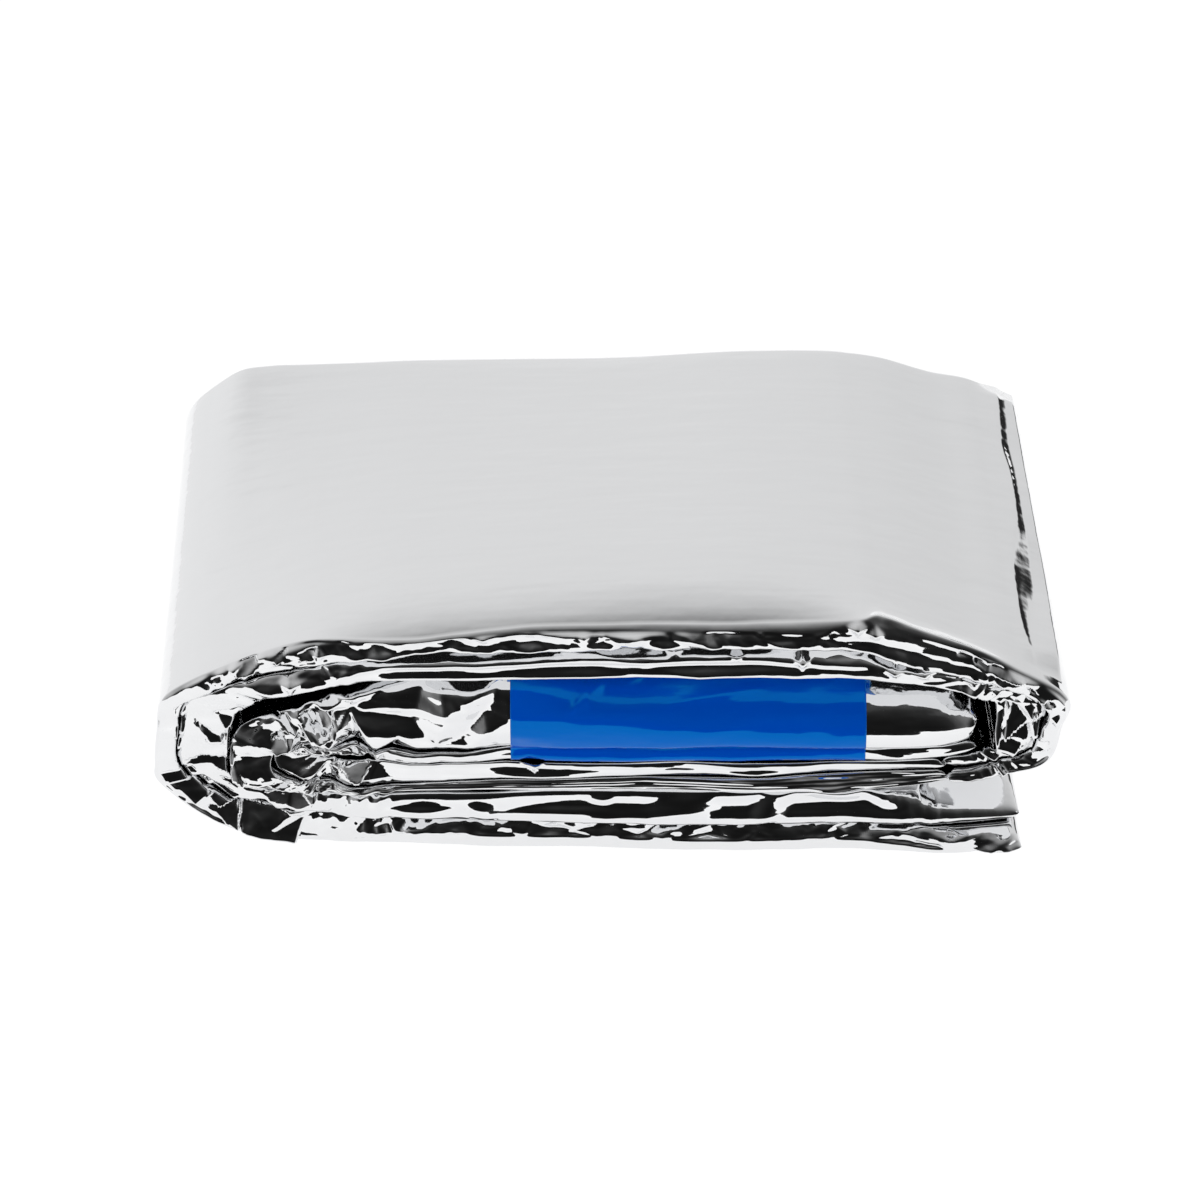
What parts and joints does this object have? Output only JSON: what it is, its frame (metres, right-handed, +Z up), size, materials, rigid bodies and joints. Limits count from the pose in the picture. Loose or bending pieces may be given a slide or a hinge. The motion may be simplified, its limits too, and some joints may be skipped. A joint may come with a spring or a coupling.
{
  "type": "emergency sleeping bag",
  "caption": "Silvered film sleeping bag folded back and forth and wound into a flat, puffy storage pack, held by a plain blue adhesive strip on its front folds.",
  "frame": {"origin": "middle of the base of the bounding box, on the surface that the pack lies on", "axes": "+X to the right along the folds, -Y towards the front folds that carry the strip, +Z up"},
  "size_m": [0.1286, 0.0784, 0.0401],
  "materials": {
    "film": "mirror-bright vapour coating on thin polyester film, crumpled at the folds",
    "strip": "glossy adhesive tape, wrinkled with the folds under it"
  },
  "bodies": {
    "root": {"folded_bag": "film", "adhesive_strip": "strip"}
  },
  "joints": []
}
